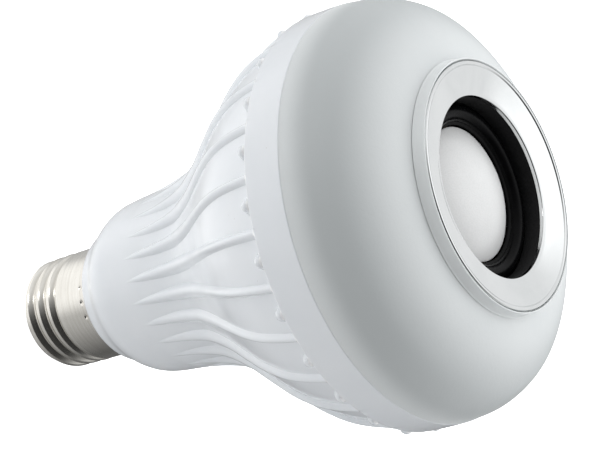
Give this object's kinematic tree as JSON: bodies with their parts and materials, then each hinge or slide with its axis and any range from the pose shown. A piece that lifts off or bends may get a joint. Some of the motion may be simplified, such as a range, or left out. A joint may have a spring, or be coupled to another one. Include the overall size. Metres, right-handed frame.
{
  "type": "smart light bulb",
  "caption": "Light bulb with a screw cap, a ribbed bell-shaped housing and a milky diffuser that surrounds a loudspeaker in a chrome trim ring.",
  "frame": {"origin": "centre of the flat end of the centre contact, at the bottom of the screw cap", "axes": "+Z along the bulb's axis, from the screw cap towards the loudspeaker; +X and +Y square to it"},
  "size_m": [0.085, 0.085, 0.1285],
  "materials": {
    "contact_tin": "satin tinned metal",
    "insulator": "matt black",
    "nickel_shell": "nickel-plated, satin",
    "housing_white": "glossy white",
    "diffuser_milky": "satin milky white",
    "trim_chrome": "polished",
    "carrier_white": "satin white",
    "basket_black": "satin black",
    "surround_rubber": "smooth black",
    "spider_cloth": "amber resin cloth",
    "cone_black": "matt black",
    "dome_pearl": "pearl silver-white",
    "former_amber": "amber film",
    "coil_copper": "enamelled copper",
    "steel": "zinc-plated",
    "ferrite": "dark ferrite",
    "gasket_foam": "black foam",
    "aluminium": "mill finish",
    "led_board_white": "white solder mask",
    "led_phosphor": "yellow phosphor",
    "board_green": "green solder mask",
    "tape_yellow": "yellow tape",
    "can_black": "sleeved can",
    "wire_red": "red insulation",
    "wire_black": "black insulation",
    "screw_steel": "zinc-plated"
  },
  "bodies": {
    "bulb": {"base_insulator": "insulator", "basket": "basket_black", "bluetooth_board": "board_green", "bluetooth_chip": "insulator", "board_screw_1": "screw_steel", "board_screw_2": "screw_steel", "board_screw_3": "screw_steel", "centre_contact": "contact_tin", "control_chip": "insulator", "diffuser": "diffuser_milky", "driver_board": "board_green", "driver_sleeve": "carrier_white", "gasket": "gasket_foam", "housing": "housing_white", "inductor": "coil_copper", "input_capacitor": "can_black", "led_01": "led_phosphor", "led_02": "led_phosphor", "led_03": "led_phosphor", "led_04": "led_phosphor", "led_05": "led_phosphor", "led_06": "led_phosphor", "led_07": "led_phosphor", "led_08": "led_phosphor", "led_09": "led_phosphor", "led_10": "led_phosphor", "led_11": "led_phosphor", "led_12": "led_phosphor", "led_board": "led_board_white", "led_wire_neg": "wire_black", "led_wire_pos": "wire_red", "live_wire": "wire_red", "magnet": "ferrite", "mounting_plate": "aluminium", "neutral_wire": "wire_black", "output_capacitor": "can_black", "plate_screw_1": "screw_steel", "plate_screw_2": "screw_steel", "plate_screw_3": "screw_steel", "rectifier": "insulator", "screw_shell": "nickel_shell", "speaker_carrier": "carrier_white", "speaker_screw_1": "screw_steel", "speaker_screw_2": "screw_steel", "speaker_screw_3": "screw_steel", "speaker_screw_4": "screw_steel", "speaker_terminal": "board_green", "speaker_wire_neg": "wire_black", "speaker_wire_pos": "wire_red", "spider": "spider_cloth", "surround": "surround_rubber", "top_plate": "steel", "transformer": "tape_yellow", "trim_ring": "trim_chrome", "yoke": "steel"},
    "diaphragm": {"dust_cap": "dome_pearl", "cone": "cone_black", "coil_former": "former_amber", "voice_coil": "coil_copper"}
  },
  "joints": [
    {"name": "cone_travel", "type": "slide", "parent": "bulb", "child": "diaphragm", "axis": [0, 0, 1], "range_m": [-0.001, 0.001], "stiffness_N_per_m": 1000, "deforming": ["surround", "spider"]}
  ]
}
